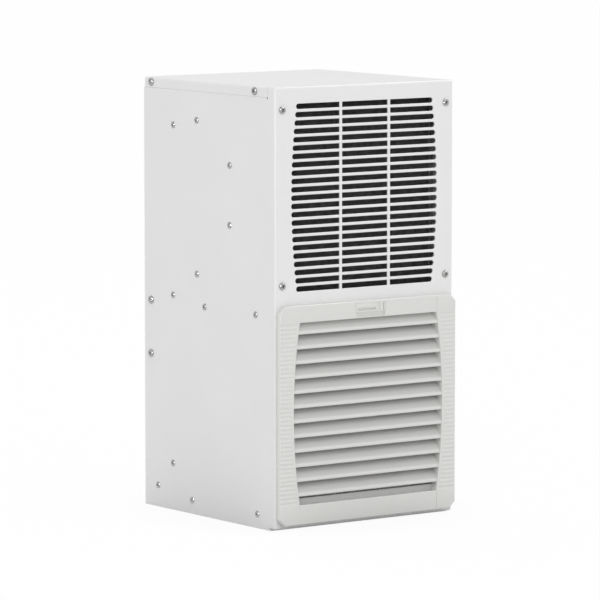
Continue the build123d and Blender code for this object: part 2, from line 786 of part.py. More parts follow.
def blade_wall(shift):
    """One side of an impeller blade: from the eye out to the rim, bent and swept back."""
    eye_end = Vector(fan_eye / 2 + fan_plate, 0)
    rim_end = Vector(fan_outer / 2, 0).rotate(Axis.Z, fan_blade_sweep)
    outward = (rim_end - eye_end).normalized().cross(Vector(0, 0, 1))
    middle = (eye_end + rim_end) / 2 + outward * fan_blade_bow
    return [point - outward * shift for point in (eye_end, middle, rim_end)]


with BuildSketch() as fan_blade:
    with BuildLine():
        upper_wall = Polyline(*blade_wall(0))
        lower_wall = Polyline(*blade_wall(fan_plate))
        Line(upper_wall @ 0, lower_wall @ 0)
        Line(upper_wall @ 1, lower_wall @ 1)
    make_face()

with BuildPart() as fan_impeller:
    with BuildSketch(Plane.XZ.offset(-impeller_front_y)):
        with Locations((0, intake_centre_z)):
            RegularPolygon(fan_outer / 2, round_sides, major_radius=False)
    extrude(amount=-fan_plate)
    with BuildSketch(Plane.XZ.offset(-impeller_rear_y)):
        with Locations((0, intake_centre_z)):
            RegularPolygon(fan_outer / 2, round_sides, major_radius=False)
            RegularPolygon(fan_eye / 2, round_sides, major_radius=False, mode=Mode.SUBTRACT)
    extrude(amount=fan_plate)
    with BuildSketch(Plane.XZ.offset(-impeller_front_y - fan_plate / 2)):
        with Locations((0, intake_centre_z)):
            with PolarLocations(0, fan_blades):
                add(fan_blade.sketch)
    extrude(amount=-(impeller_rear_y - impeller_front_y - fan_plate))
fan_impeller.part.label = "fan_impeller"
export_step(fan_impeller.part, "parts/fan_impeller.step")

with BuildPart() as intake_nozzle:
    with BuildSketch(Plane.XZ.offset(-rear_y + sheet)):
        with Locations((0, intake_centre_z)):
            Rectangle(nozzle_plate, nozzle_plate)
            RegularPolygon(
                nozzle_radius - fan_plate, round_sides, major_radius=False, mode=Mode.SUBTRACT
            )
    extrude(amount=fan_plate)
    with BuildSketch(Plane.XZ.offset(-rear_y + sheet)):
        with Locations((0, intake_centre_z)):
            RegularPolygon(nozzle_radius, round_sides, major_radius=False)
            RegularPolygon(
                nozzle_radius - fan_plate, round_sides, major_radius=False, mode=Mode.SUBTRACT
            )
    extrude(amount=nozzle_length)
intake_nozzle.part.label = "intake_nozzle"
export_step(intake_nozzle.part, "parts/intake_nozzle.step")

# Supply socket in the lower rear pan
with BuildPart() as supply_socket:
    with BuildSketch(Plane.XZ.offset(-rear_y)):
        with Locations((socket_centre_x, socket_centre_z)):
            Rectangle(socket_width + 2 * sheet, socket_height + 2 * sheet)
    extrude(amount=-sheet)
    with BuildSketch(Plane.XZ.offset(-rear_y)):
        with Locations((socket_centre_x, socket_centre_z)):
            Rectangle(socket_width - 2 * fit_clearance, socket_height - 2 * fit_clearance)
    extrude(amount=rear_flange - inner_flange)
    with BuildSketch(Plane.XZ.offset(-rear_y - sheet)):
        with Locations((socket_centre_x, socket_centre_z)):
            Rectangle(socket_width - 4 * sheet, socket_height - 4 * sheet)
    extrude(amount=inner_flange, mode=Mode.SUBTRACT)
supply_socket.part.label = "supply_socket"
export_step(supply_socket.part, "parts/supply_socket.step")
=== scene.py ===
import json
from math import cos, dist, pi, radians, sin, sqrt, tan

import bmesh
import bpy
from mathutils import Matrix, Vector
from mathutils.geometry import delaunay_2d_cdt


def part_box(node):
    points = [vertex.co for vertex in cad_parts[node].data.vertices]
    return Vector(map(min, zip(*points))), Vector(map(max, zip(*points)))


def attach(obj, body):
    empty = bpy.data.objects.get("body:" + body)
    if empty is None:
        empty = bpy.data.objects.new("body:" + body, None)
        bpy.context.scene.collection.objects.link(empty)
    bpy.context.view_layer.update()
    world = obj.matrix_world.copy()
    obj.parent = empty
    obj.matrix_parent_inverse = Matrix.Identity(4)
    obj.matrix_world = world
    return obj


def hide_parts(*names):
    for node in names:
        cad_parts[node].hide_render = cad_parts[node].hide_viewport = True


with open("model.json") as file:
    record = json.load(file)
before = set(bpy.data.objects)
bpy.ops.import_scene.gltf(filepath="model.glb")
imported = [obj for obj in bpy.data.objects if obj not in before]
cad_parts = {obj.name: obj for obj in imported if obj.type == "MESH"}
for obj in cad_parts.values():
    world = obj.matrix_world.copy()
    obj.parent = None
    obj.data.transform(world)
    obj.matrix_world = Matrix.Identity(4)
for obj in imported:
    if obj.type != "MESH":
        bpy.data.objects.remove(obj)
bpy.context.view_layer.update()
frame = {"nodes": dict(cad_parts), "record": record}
slot_of = {part["node"]: part["material_slot"] for part in frame["record"]["subparts"]}

mm = 0.001

# Sizes shared with the CAD part, in millimetres
front_y = -129.75
rear_y = 134.25
cover_front_y = -138.25
half_width = 127.5
housing_height = 508


# Materials

materials = {}
cover_grey = (0.635, 0.635, 0.618)


def new_material(name, colour, roughness, metallic=0.0, specular=0.5, sheen=0.0):
    """A principled material with flat values on the shader's own sockets. Returns its nodes."""
    material = bpy.data.materials.new(name)
    material.use_nodes = True
    materials[name] = material
    tree = material.node_tree
    values = {
        "Base Color": (*colour, 1.0),
        "Roughness": roughness,
        "Metallic": metallic,
        "Specular IOR Level": specular,
        "Sheen Weight": sheen,
    }
    for socket, value in values.items():
        tree.nodes["Principled BSDF"].inputs[socket].default_value = value
    return tree


def add_node(tree, kind, **values):
    """A new node with values for its inputs."""
    node = tree.nodes.new(kind)
    for name, value in values.items():
        node.inputs[name].default_value = value
    return node


def object_coordinates(tree, stretch=(1, 1, 1)):
    """Object coordinates in metres, stretched along the axes."""
    source = add_node(tree, "ShaderNodeTexCoord")
    mapping = add_node(tree, "ShaderNodeMapping", Scale=stretch)
    tree.links.new(source.outputs["Object"], mapping.inputs["Vector"])
    return mapping.outputs["Vector"]


def noise(tree, scale, detail=3.0, stretch=(1, 1, 1)):
    """Soft noise over the object."""
    node = add_node(tree, "ShaderNodeTexNoise", Scale=scale, Detail=detail)
    tree.links.new(object_coordinates(tree, stretch), node.inputs["Vector"])
    return node.outputs["Fac"]


def bump(tree, height, distance, strength):
    """Fine relief on the principled shader."""
    node = add_node(tree, "ShaderNodeBump", Distance=distance, Strength=strength)
    tree.links.new(height, node.inputs["Height"])
    tree.links.new(node.outputs["Normal"], tree.nodes["Principled BSDF"].inputs["Normal"])


def tint(tree, factor, low, high):
    """Base colour that runs between two stops, each a place and a colour."""
    node = tree.nodes.new("ShaderNodeValToRGB")
    for element, (place, colour) in zip(node.color_ramp.elements, (low, high)):
        element.position = place
        element.color = (*colour, 1.0)
    tree.links.new(factor, node.inputs["Fac"])
    tree.links.new(node.outputs["Color"], tree.nodes["Principled BSDF"].inputs["Base Color"])


def map_range(tree, value, start, end, low=0.0, high=1.0, smooth=False):
    """The value's way from start to end, turned into low to high."""
    limits = {"From Min": start, "From Max": end, "To Min": low, "To Max": high}
    node = add_node(tree, "ShaderNodeMapRange", **limits)
    if smooth:
        node.interpolation_type = "SMOOTHSTEP"
    tree.links.new(value, node.inputs["Value"])
    return node.outputs["Result"]


def calculate(tree, operation, first, second):
    """A maths node over two outputs of other nodes."""
    node = tree.nodes.new("ShaderNodeMath")
    node.operation = operation
    tree.links.new(first, node.inputs[0])
    tree.links.new(second, node.inputs[1])
    return node.outputs[0]


def housing_paint():
    """Light grey powder coat with a very fine orange peel."""
    tree = new_material("housing_paint", (0.72, 0.72, 0.72), 0.42)
    cloud = noise(tree, 9.0, 2.0)
    tint(tree, cloud, (0.3, (0.712, 0.712, 0.713)), (0.7, (0.730, 0.730, 0.729)))
    bump(tree, noise(tree, 900.0), 0.00006, 0.35)


def grained(name, colour, roughness, scale=1600.0, distance=0.00005, strength=0.4):
    """One colour with a fine grain, that of dark moulded plastic if nothing else is given."""
    tree = new_material(name, colour, roughness)
    bump(tree, noise(tree, scale), distance, strength)
    return tree


def rear_sheet():
    """The same powder coat on the cabinet side, without clouds."""
    grained("rear_sheet", (0.71, 0.71, 0.71), 0.46, 900.0, 0.00006, 0.35)


def cover_plastic(name="cover_plastic", roughness=0.38):
    """Moulded satin plastic, a shade warmer and darker than the paint."""
    return grained(name, cover_grey, roughness, 1400.0, 0.00004, 0.25)


def blade_plastic():
    """The cover's plastic, darker behind the blades' noses: painted shade between the blades."""
    painted_shade_start_y = -0.1371
    painted_shade_full_y = -0.1356
    tree = cover_plastic("blade_plastic", 0.5)
    split = add_node(tree, "ShaderNodeSeparateXYZ")
    tree.links.new(object_coordinates(tree), split.inputs[0])
    # Painted shade: the colour darkens with depth behind the noses, standing in for the shade
    # between the blades
    depth = map_range(tree, split.outputs["Y"], painted_shade_start_y, painted_shade_full_y)
    tint(tree, depth, (0.0, cover_grey), (1.0, (0.51, 0.51, 0.497)))


def black_fins():
    """Thin black coated fins with a little dust."""
    tree = new_material("black_fins", (0.09, 0.09, 0.09), 0.5)
    dust = noise(tree, 160.0, 4.0)
    tint(tree, dust, (0.35, (0.070, 0.070, 0.071)), (0.70, (0.125, 0.125, 0.122)))


def galvanised_sheet():
    """Dull zinc with faint spangle."""
    tree = new_material("galvanised_sheet", (0.55, 0.56, 0.57), 0.42, 0.9)
    cells = add_node(tree, "ShaderNodeTexVoronoi", Scale=140.0)
    tree.links.new(object_coordinates(tree), cells.inputs["Vector"])
    tint(tree, cells.outputs["Color"], (0.0, (0.50, 0.51, 0.52)), (1.0, (0.60, 0.61, 0.62)))


def bare_fins():
    """Thin bare aluminium fins."""
    tree = new_material("bare_fins", (0.66, 0.67, 0.68), 0.34, 1.0)
    bump(tree, noise(tree, 500.0, 2.0, (1, 1, 8)), 0.0001, 0.3)


def filter_fleece():
    """Coarse non-woven fleece."""
    tree = new_material("filter_fleece", (0.66, 0.67, 0.64), 0.95, specular=0.15, sheen=0.25)
    fibres = noise(tree, 420.0, 6.0, (1, 1, 0.4))
    tint(tree, fibres, (0.3, (0.50, 0.51, 0.48)), (0.7, (0.74, 0.75, 0.72)))
    bump(tree, fibres, 0.0008, 0.9)


def zinc_plated_steel():
    """Bright zinc plating, lightly clouded."""
    tree = new_material("zinc_plated_steel", (0.42, 0.42, 0.415), 0.14, 1.0)
    cloud = noise(tree, 700.0)
    tint(tree, cloud, (0.3, (0.34, 0.34, 0.335)), (0.7, (0.46, 0.46, 0.455)))


def foam_rubber():
    """Closed-cell foam with open skin pores."""
    tree = new_material("foam_rubber", (0.045, 0.045, 0.047), 0.9, specular=0.25)
    pores = noise(tree, 900.0, 5.0)
    tint(tree, pores, (0.35, (0.022, 0.022, 0.023)), (0.65, (0.060, 0.060, 0.062)))
    bump(tree, pores, 0.0004, 0.8)


housing_paint()
rear_sheet()
cover_plastic()
blade_plastic()
filter_fleece()
black_fins()
galvanised_sheet()
bare_fins()
grained("tray_plastic", (0.10, 0.10, 0.10), 0.5)
grained("black_plastic", (0.035, 0.035, 0.036), 0.42)
zinc_plated_steel()
foam_rubber()
for node_name, slot_name in slot_of.items():
    node_mesh = frame["nodes"][node_name].data
    node_mesh.materials.clear()
    node_mesh.materials.append(materials[slot_name])


# Mesh helpers. Points are in millimetres until a piece is made.

class Shape:
    """Faces of one piece. Points that meet are joined when the piece is made."""

    def __init__(self):
        self.points = []
        self.faces = []

    def face(self, corners):
        first = len(self.points)
        self.points.extend(corners)
        self.faces.append(tuple(range(first, first + len(corners))))

    def grid(self, rows, closed=False):
        """Faces between neighbouring rows of points."""
        for row, following in zip(rows, rows[1:]):
            count = len(row)
            for i in range(count if closed else count - 1):
                j = (i + 1) % count
                self.face([row[i], row[j], following[j], following[i]])

    def tube(self, rings):
        """A closed solid through closed rings, with flat ends."""
        self.grid(rings, closed=True)
        self.face(list(rings[0]))
        self.face(list(rings[-1]))

    def dome(self, rings):
        """A closed solid whose first ring is a single point, with a flat underside."""
        self.grid(rings[1:], closed=True)
        centre = rings[0][0]
        for here, following in zip(rings[1], rings[1][1:] + rings[1][:1]):
            self.face([centre, here, following])
        self.face(rings[-1])

    def block(self, low, high):
        x0, y0, z0 = low
        x1, y1, z1 = high
        self.tube([[(x0, y0, z), (x1, y0, z), (x1, y1, z), (x0, y1, z)] for z in (z0, z1)])

    def flat(self, points, faces, y):
        """Triangles that face the front, at one depth."""
        for face in faces:
            self.face([(points[i][0], y, points[i][1]) for i in face])

    def wall(self, outline, *depths):
        """The side of a closed outline (x, z) that runs from depth to depth."""
        self.grid([[(x, y, z) for x, z in outline] for y in depths], closed=True)


def new_object(name, data):
    """An object that is linked to the scene."""
    item = bpy.data.objects.new(name, data)
    bpy.context.scene.collection.objects.link(item)
    return item


def make_piece(name, shape, slot, replaces=(), crease=32.0, look=None):
    """A mesh object that rides on the housing, smooth but for edges sharper than the crease."""
    join_distance = 0.002 * mm
    short_edge = 0.001 * mm
    mesh = bpy.data.meshes.new(name)
    mesh.from_pydata([tuple(c * mm for c in p) for p in shape.points], [], shape.faces)
    work = bmesh.new()
    work.from_mesh(mesh)
    bmesh.ops.remove_doubles(work, verts=work.verts, dist=join_distance)
    bmesh.ops.dissolve_degenerate(work, edges=work.edges, dist=short_edge)
    bmesh.ops.recalc_face_normals(work, faces=work.faces)
    for face in work.faces:
        face.smooth = True
    for edge in work.edges:
        edge.smooth = edge.calc_face_angle(pi) < radians(crease)
    work.to_mesh(mesh)
    work.free()
    mesh.materials.append(materials[look or slot])
    piece = new_object(name, mesh)
    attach(piece, "root")
    if replaces:
        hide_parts(*replaces)


def inside(outline, x, z):
    """True where the point lies in the closed outline."""
    found = False
    for (x0, z0), (x1, z1) in zip(outline, outline[1:] + outline[:1]):
        if (z0 > z) != (z1 > z) and x < x0 + (z - z0) * (x1 - x0) / (z1 - z0):
            found = not found
    return found


class Boxed:
    """An outline with its limits, so that most points are ruled out at once."""

    def __init__(self, outline):
        self.outline = outline
        self.limits = [(min(values), max(values)) for values in zip(*outline)]

    def holds(self, x, z):
        (low_x, high_x), (low_z, high_z) = self.limits
        return low_x < x < high_x and low_z < z < high_z and inside(self.outline, x, z)


def triangles(outlines, border, holes):
    """Triangles within the border and outside the holes, as indices into the outlines' points."""
    points = []
    edges = []
    for outline in outlines:
        first = len(points)
        count = len(outline)
        points.extend(outline)
        edges.extend((first + i, first + (i + 1) % count) for i in range(count))
    found = delaunay_2d_cdt([Vector(p) for p in points], edges, [], 0, 1e-5)
    places, _, faces, sources, _, _ = found
    border = Boxed(border)
    holes = [Boxed(hole) for hole in holes]
    kept = []
    for face in faces:
        x = sum(places[i][0] for i in face) / 3
        z = sum(places[i][1] for i in face) / 3
        if border.holds(x, z) and not any(hole.holds(x, z) for hole in holes):
            kept.append([sources[i][0] for i in face])
    return points, kept


def box_outline(box):
    """Corners of a box that is given as low x, high x, low z, high z."""
    x0, x1, z0, z1 = box
    return [(x0, z0), (x1, z0), (x1, z1), (x0, z1)]


def in_box(box, x, z):
    """True where the point lies in such a box."""
    return box[0] < x < box[1] and box[2] < z < box[3]


def arc_half_width(middle, radius, rise):
    """Half width of a field whose sides are arcs, at a height above its middle."""
    return middle - radius + sqrt(radius**2 - rise**2)


def turn(centre, radius, first, last, steps):
    """Points (x, z) on an arc, its angles in degrees."""
    angles = [radians(first + (last - first) * i / steps) for i in range(steps + 1)]
    return [(centre[0] + radius * cos(a), centre[1] + radius * sin(a)) for a in angles]


def quarter_turn(steps):
    """Angles from zero to a quarter turn."""
    return [i * pi / 2 / steps for i in range(steps + 1)]


def circle(radius, count):
    """Points around the origin."""
    angles = [2 * pi * i / count for i in range(count)]
    return [(radius * cos(a), radius * sin(a)) for a in angles]


def clamp(value):
    """The value, held between zero and one."""
    return min(1.0, max(0.0, value))


def node_box(name):
    """Lowest and highest corner of a CAD node, in millimetres."""
    low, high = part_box(name)
    return tuple(c / mm for c in low), tuple(c / mm for c in high)


# Front panels: two pans of bent sheet, the lower one upside down

sheet = 1.5
bend = 2.5
bend_x = half_width - bend
bend_y = front_y + bend
bend_z = housing_height - bend
bend_angles = quarter_turn(6)
panel_low_z = 255.0
front_return_y = -116.25
panel_border = box_outline((-bend_x, bend_x, panel_low_z, bend_z))

slot_pitch = 9.48
slot_height = 6.2
slot_rows = 23
slot_centre_z = 381.2
slot_field_half_width = 104.6
slot_field_radius = 783.0
slot_lip = 0.3
slot_bar_x = 34.4
slot_bar_half_width = 1.8

front_screws = [(side * 117.0, z) for side in (-1, 1) for z in (281.5, 482.0)]
screw_hole_radius = 2.75
dimple_radii = (screw_hole_radius, 3.5, 4.5, 5.5, 6.5, 7.5)
dimple_depth = 0.7
dimple_flat_radius = 3.0

# The filter window as it lies before the lower pan is turned upside down
turned_window = (-112.0, 112.0, 265.5, 489.5)
foot = 2.0
foot_set_back = 9.5


def slot_outlines(grow):
    """Outlines of all the slots, made larger all round by grow."""
    outlines = []
    reach = slot_height / 2 + grow
    middle = slot_bar_x - slot_bar_half_width + grow
    outer = slot_bar_x + slot_bar_half_width - grow
    for row in range(slot_rows):
        rise = (row - (slot_rows - 1) / 2) * slot_pitch
        z = slot_centre_z + rise
        low = z - reach
        high = z + reach
        end = arc_half_width(slot_field_half_width, slot_field_radius, rise) - slot_height / 2
        outlines.append(box_outline((-middle, middle, low, high)))
        outlines.append([(outer, high), (outer, low)] + turn((end, z), reach, -90, 90, 10))
        outlines.append([(-outer, low), (-outer, high)] + turn((-end, z), reach, 90, 270, 10))
    return outlines


def dimple(radius):
    """How far the sheet is drawn in round a front screw."""
    outer = dimple_radii[-1]
    share = clamp((outer - radius) / (outer - dimple_flat_radius))
    return dimple_depth * share * share * (3 - 2 * share)


def bent(u, v, reach_u, reach_v):
    """Points over a bend that is centred on (u, v), from its v side to its u side."""
    return [(u + reach_u * sin(t), v + reach_v * cos(t)) for t in bend_angles]


def pan_skin(shape, inset):
    """The bends and returns of a pan, for the outer or the inner side."""
    radius = bend - inset
    for side in (-1, 1):
        edge = side * bend_x
        outer_x = edge + side * radius
        upright = bent(edge, bend_y, side * radius, -radius)
        shape.grid([[(u, v, w) for u, v in upright] for w in (panel_low_z, bend_z)])
        shape.grid(
            [[(outer_x, bend_y, w), (outer_x, front_return_y, w)] for w in (panel_low_z, bend_z)]
        )
        across = bent(edge, bend_z, side * radius, radius)
        shape.grid([[(u, v, w) for u, w in across] for v in (bend_y, front_return_y)])
        corner = []
        for t in bend_angles:
            reach = radius * sin(t)
            level = bend_z + radius * cos(t)
            corner.append([(u, v, level) for u, v in bent(edge, bend_y, side * reach, -reach)])
        shape.grid(corner)
    over = bent(bend_y, bend_z, -radius, radius)
    shape.grid([[(u, v, w) for v, w in over] for u in (-bend_x, bend_x)])
    top = box_outline((-bend_x, bend_x, bend_y, front_return_y))
    shape.face([(u, v, bend_z + radius) for u, v in top])


def folded_edge(inset, level, sign, end):
    """Edge of a pan that runs over both side bends, level with their centres and out to the end."""
    radius = bend - inset
    right = bent(bend_x, level, radius, sign * radius)
    left = [(-u, w) for u, w in reversed(right)]
    return [(-bend_x - radius, end)] + left + right + [(bend_x + radius, end)]


def pan_folds(shape):
    """All of a pan but its flat face: bends, returns and free edges."""
    sides = (0, sheet)
    for inset in sides:
        pan_skin(shape, inset)
    rims = [folded_edge(inset, bend_z, 1, panel_low_z) for inset in sides]
    shape.grid([[(u, front_return_y, w) for u, w in rim] for rim in rims])
    rims = [folded_edge(inset, bend_y, -1, front_return_y) for inset in sides]
    shape.grid([[(u, v, panel_low_z) for u, v in rim] for rim in rims])
    edge = box_outline((-bend_x, bend_x, front_y, front_y + sheet))
    shape.face([(u, v, panel_low_z) for u, v in edge])


def slotted_front_panel():
    """Upper pan with three columns of slots and a dimple round each screw."""
    shape = Shape()
    dimples = [(centre, radius) for centre in front_screws for radius in dimple_radii]
    rings = [turn(centre, radius, 0, 345, 23) for centre, radius in dimples]
    screw_holes = rings[:: len(dimple_radii)]
    lips = slot_outlines(slot_lip)
    cuts = slot_outlines(0.0)
    outlines = [panel_border] + rings + lips + cuts
    points, faces = triangles(outlines, panel_border, cuts + screw_holes)
    drawn = [0.0] * len(panel_border)
    for (_, radius), ring in zip(dimples, rings):
        drawn += [dimple(radius)] * len(ring)
    slot_points = sum(len(cut) for cut in cuts)
    front = drawn + [0.0] * slot_points + [slot_lip] * slot_points
    back = drawn + [0.0] * (2 * slot_points)
    for face in faces:
        shape.face([(points[i][0], front_y + front[i], points[i][1]) for i in face])
        shape.face([(points[i][0], front_y + sheet + back[i], points[i][1]) for i in face])
    for cut in cuts:
        shape.wall(cut, front_y + slot_lip, front_y + sheet)
    deep = dimple(screw_hole_radius)
    for hole in screw_holes:
        shape.wall(hole, front_y + deep, front_y + sheet + deep)
    pan_folds(shape)
    make_piece("slotted_front", shape, "housing_paint", ["slotted_front_panel"])


def lower_front_panel():
    """The same pan upside down, with the filter window, over a low strip that stands back."""
    shape = Shape()
    window = box_outline(turned_window)
    points, faces = triangles([panel_border, window], panel_border, [window])
    for y in (front_y, front_y + sheet):
        shape.flat(points, faces, y)
    shape.wall(window, front_y, front_y + sheet)
    pan_folds(shape)
    shape.points = [(u, v, housing_height + foot - w) for u, v, w in shape.points]
    shape.block((-half_width, front_y + foot_set_back, 0.0), (half_width, front_return_y, foot))
    make_piece("lower_front", shape, "housing_paint", ["lower_front_panel"])


slotted_front_panel()
lower_front_panel()


# Side panels

def side_panel(name, side, node):
    """Outer skin with a relief notch at its upper front corner, and the joggled strip behind."""
    shape = Shape()
    shoulder_z = 495.85
    notch_radius = 2.2
    strip_low_z = 488.0
    strip_high_z = 505.5
    notch = [
        (front_return_y + notch_radius * sin(a), shoulder_z - notch_radius * cos(a))
        for a in quarter_turn(8)
    ]
    outline = [(front_return_y, 0.0), (rear_y, 0.0), (rear_y, shoulder_z)] + notch[::-1]
    outer = side * half_width
    inner = side * (half_width - sheet)
    behind = side * (half_width - 2 * sheet)
    shape.tube([[(x, y, z) for y, z in outline] for x in (outer, inner)])
    strip = [(inner, strip_low_z), (inner, strip_high_z)]
    strip += [(behind, strip_high_z), (behind, strip_low_z + sheet)]
    shape.tube([[(x, y, z) for x, z in strip] for y in (-113.5, 99.75)])
    make_piece(name, shape, "housing_paint", [node])


side_panel("left_side", -1, "left_side_panel")
side_panel("right_side", 1, "right_side_panel")


# Filter cover

cover_size = 253.0
cover_centre_z = 132.5
cover_chamfer = 8.0
cover_depth = 8.5
cover_wall = 2.5
edge_round = 2.0
rim_step = 1.2
rim_step_depth = 2.5
step_round = 0.5
step_round_middle = 0.15
louvre_low_z = 29.0
louvre_high_z = 239.0
louvre_middle_z = (louvre_high_z + louvre_low_z) / 2
louvre_half_width = 106.7
louvre_radius = 650.0
tunnel_depth = 17.0
tunnel_wall = 2.0
mouth_depth = 1.2
opening_round = 0.6
bar_recess = 0.45
rib_low_z = 29.3
rib_high_z = 238.6
rib_count = 42
rib_depth = 0.7
rib_steps = 6 * rib_count
rib_samples = [rib_low_z + (rib_high_z - rib_low_z) * i / rib_steps for i in range(rib_steps + 1)]
tab_box = (-19.0, 24.0, 245.0, 256.6)
pocket_depth = 2.3
finger_box = (-17.5, 22.5, 240.6, 245.0)
finger_top_depth = 1.5
finger_slope_depth = 0.8
slack = 0.001


def louvre_outline(grow):
    """Arched opening of the cover, its corners first listed at the lower left."""
    half_height = (louvre_high_z - louvre_low_z) / 2
    steps = 28
    right = []
    for i in range(steps + 1):
        share = 2 * i / steps - 1
        x = arc_half_width(louvre_half_width + grow, louvre_radius, share * half_height)
        right.append((x, louvre_middle_z + share * (half_height + grow)))
    left = [(-x, z) for x, z in reversed(right)]
    return right + left


bar_half_width = louvre_outline(opening_round)[0][0]


def rib_wave(z):
    """Depth of the soft grooves of the side strips at a height."""
    turns = (z - rib_low_z) / (rib_high_z - rib_low_z) * rib_count
    return rib_depth * (0.5 - 0.5 * cos(2 * pi * turns))


def cover_outline(inset):
    """Outline of the cover, with points on its sides at every rib sample."""
    half = cover_size / 2 - inset
    long = cover_size / 2 - cover_chamfer - inset * (sqrt(2) - 1)
    side = [z - cover_centre_z for z in rib_samples]
    bar = [-bar_half_width, bar_half_width]
    right = [(half, -long)] + [(half, z) for z in side] + [(half, long)]
    top = [(long, half)] + [(-x, half) for x in bar] + [(-long, half)]
    left = [(-half, long)] + [(-half, z) for z in reversed(side)] + [(-half, -long)]
    low = [(-long, -half)] + [(x, -half) for x in bar] + [(long, -half)]
    return [(x, z + cover_centre_z) for x, z in right + top + left + low]


def rim_profile():
    """Insets and depths from the rounded edge to the inner side, with the share of the ribs."""
    profile = [
        (edge_round * (1 - sin(t)), edge_round * (1 - cos(t)), cos(t)) for t in quarter_turn(6)
    ]
    step_depth = cover_depth - rim_step_depth
    plain = [
        (0.0, step_depth - step_round),
        (step_round_middle, step_depth - step_round_middle),
        (step_round, step_depth),
        (rim_step, step_depth),
        (rim_step, cover_depth),
        (rim_step + cover_wall, cover_depth),
        (rim_step + cover_wall, cover_wall),
    ]
    return profile + [(inset, depth, 0.0) for inset, depth in plain]


def cover_rim(shape):
    """Rounded edge of the cover, its step, its base and its inner side."""
    profile = rim_profile()
    half = cover_size / 2
    rings = []
    for inset, depth, share in profile:
        ring = cover_outline(inset)
        if depth > edge_round and inset <= rim_step:
            # Along the top the step is only a quarter as wide
            high_z = cover_centre_z + half - inset
            ring = [(x, z + 0.75 * inset if z > high_z - slack else z) for x, z in ring]
        rings.append(ring)
    edge = rings[0]
    count = len(edge)
    for i in range(count):
        j = (i + 1) % count
        on_bar = (
            max(abs(edge[i][0]), abs(edge[j][0])) <= bar_half_width + slack
            and abs(edge[i][1] - edge[j][1]) < slack
        )
        columns = []
        for (_, depth, share), ring in zip(profile, rings):
            pair = []
            for x, z in (ring[i], ring[j]):
                y = cover_front_y + depth
                if on_bar:
                    y += bar_recess * share
                elif abs(x) > half - edge_round - 0.01 and rib_low_z <= z <= rib_high_z:
                    y += rib_wave(z) * share
                pair.append((x, y, z))
            columns.append(pair)
        shape.grid(columns)
    for side in (-1, 1):
        for z_sign in (-1, 1):
            bar_end(shape, profile, side * bar_half_width, z_sign)


def bar_end(shape, profile, x, z_sign):
    """Small wall on the rounded edge where a recessed bar begins."""
    rows = []
    for inset, depth, share in profile:
        z = cover_centre_z + z_sign * (cover_size / 2 - inset)
        y = cover_front_y + depth
        rows.append([(x, y, z), (x, y + bar_recess * share, z)])
        if share < slack:
            break
    shape.grid(rows)


def rib_columns(side):
    """Columns of the ribbed strip from its inner margin out to the rounded edge."""
    outer = cover_size / 2 - edge_round
    columns = []
    for lead, share in ((3.0, 0.0), (3.5, 0.5), (4.2, 1.0)):
        column = []
        for z in rib_samples:
            x = arc_half_width(louvre_half_width, louvre_radius, z - louvre_middle_z) + lead
            column.append((side * x, cover_front_y + share * rib_wave(z), z))
        columns.append(column)
    columns.append([(side * outer, cover_front_y + rib_wave(z), z) for z in rib_samples])
    return columns


def cover_face(shape):
    """Front face: side strips with ribs, recessed bars, tab pocket and finger recess."""
    border = cover_outline(edge_round)
    opening = louvre_outline(opening_round)
    patches = []
    for side in (-1, 1):
        columns = rib_columns(side)
        shape.grid(columns)
        flat = [[(x, z) for x, _, z in column] for column in columns]
        low_row = [column[0] for column in flat[1:-1]]
        high_row = [column[-1] for column in flat[1:-1]]
        patches.append(flat[0][::-1] + low_row + flat[-1] + high_row[::-1])
    high = cover_centre_z + cover_size / 2 - edge_round
    low = cover_centre_z - cover_size / 2 + edge_round
    top_bar = (-bar_half_width, bar_half_width, louvre_high_z + opening_round, high)
    low_bar = (-bar_half_width, bar_half_width, low, louvre_low_z - opening_round)

    def level(middle, x, z):
        if in_box(finger_box, *middle):
            down = (finger_box[3] - z) / (finger_box[3] - finger_box[2])
            return finger_top_depth + finger_slope_depth * down
        if in_box(tab_box, *middle):
            return pocket_depth
        if in_box(top_bar, *middle) or in_box(low_bar, *middle):
            return bar_recess
        return 0.0

    boxes = [box_outline(b) for b in (top_bar, low_bar, tab_box, finger_box)]
    terrace(shape, [border, opening] + patches + boxes, border, [opening] + patches, level)


def terrace(shape, outlines, border, holes, level):
    """A face in steps, with upright walls where neighbours differ in depth."""
    points, faces = triangles(outlines, border, holes)
    sides = {}
    found = {}
    for face in faces:
        middle = [sum(points[i][axis] for i in face) / 3 for axis in (0, 1)]
        deep = {i: cover_front_y + level(middle, *points[i]) for i in face}
        for i in face:
            found.setdefault(i, set()).add(deep[i])
        shape.face([(points[i][0], deep[i], points[i][1]) for i in face])
        for i, j in zip(face, face[1:] + face[:1]):
            sides.setdefault((min(i, j), max(i, j)), []).append(deep)

    def upright(i, start, end):
        """Depths that other walls use at this corner, from start to end."""
        between = [y for y in found[i] if min(start, end) < y < max(start, end)]
        return [(i, y) for y in sorted(between, reverse=start > end)]

    for (i, j), depths in sides.items():
        if len(depths) == 2:
            one, other = depths
            corners = [(i, one[i]), (j, one[j])]
            if other[j] != one[j]:
                corners += upright(j, one[j], other[j]) + [(j, other[j])]
            if other[i] != one[i]:
                corners += [(i, other[i])] + upright(i, other[i], one[i])
            if len(corners) > 2:
                shape.face([(points[k][0], y, points[k][1]) for k, y in corners])


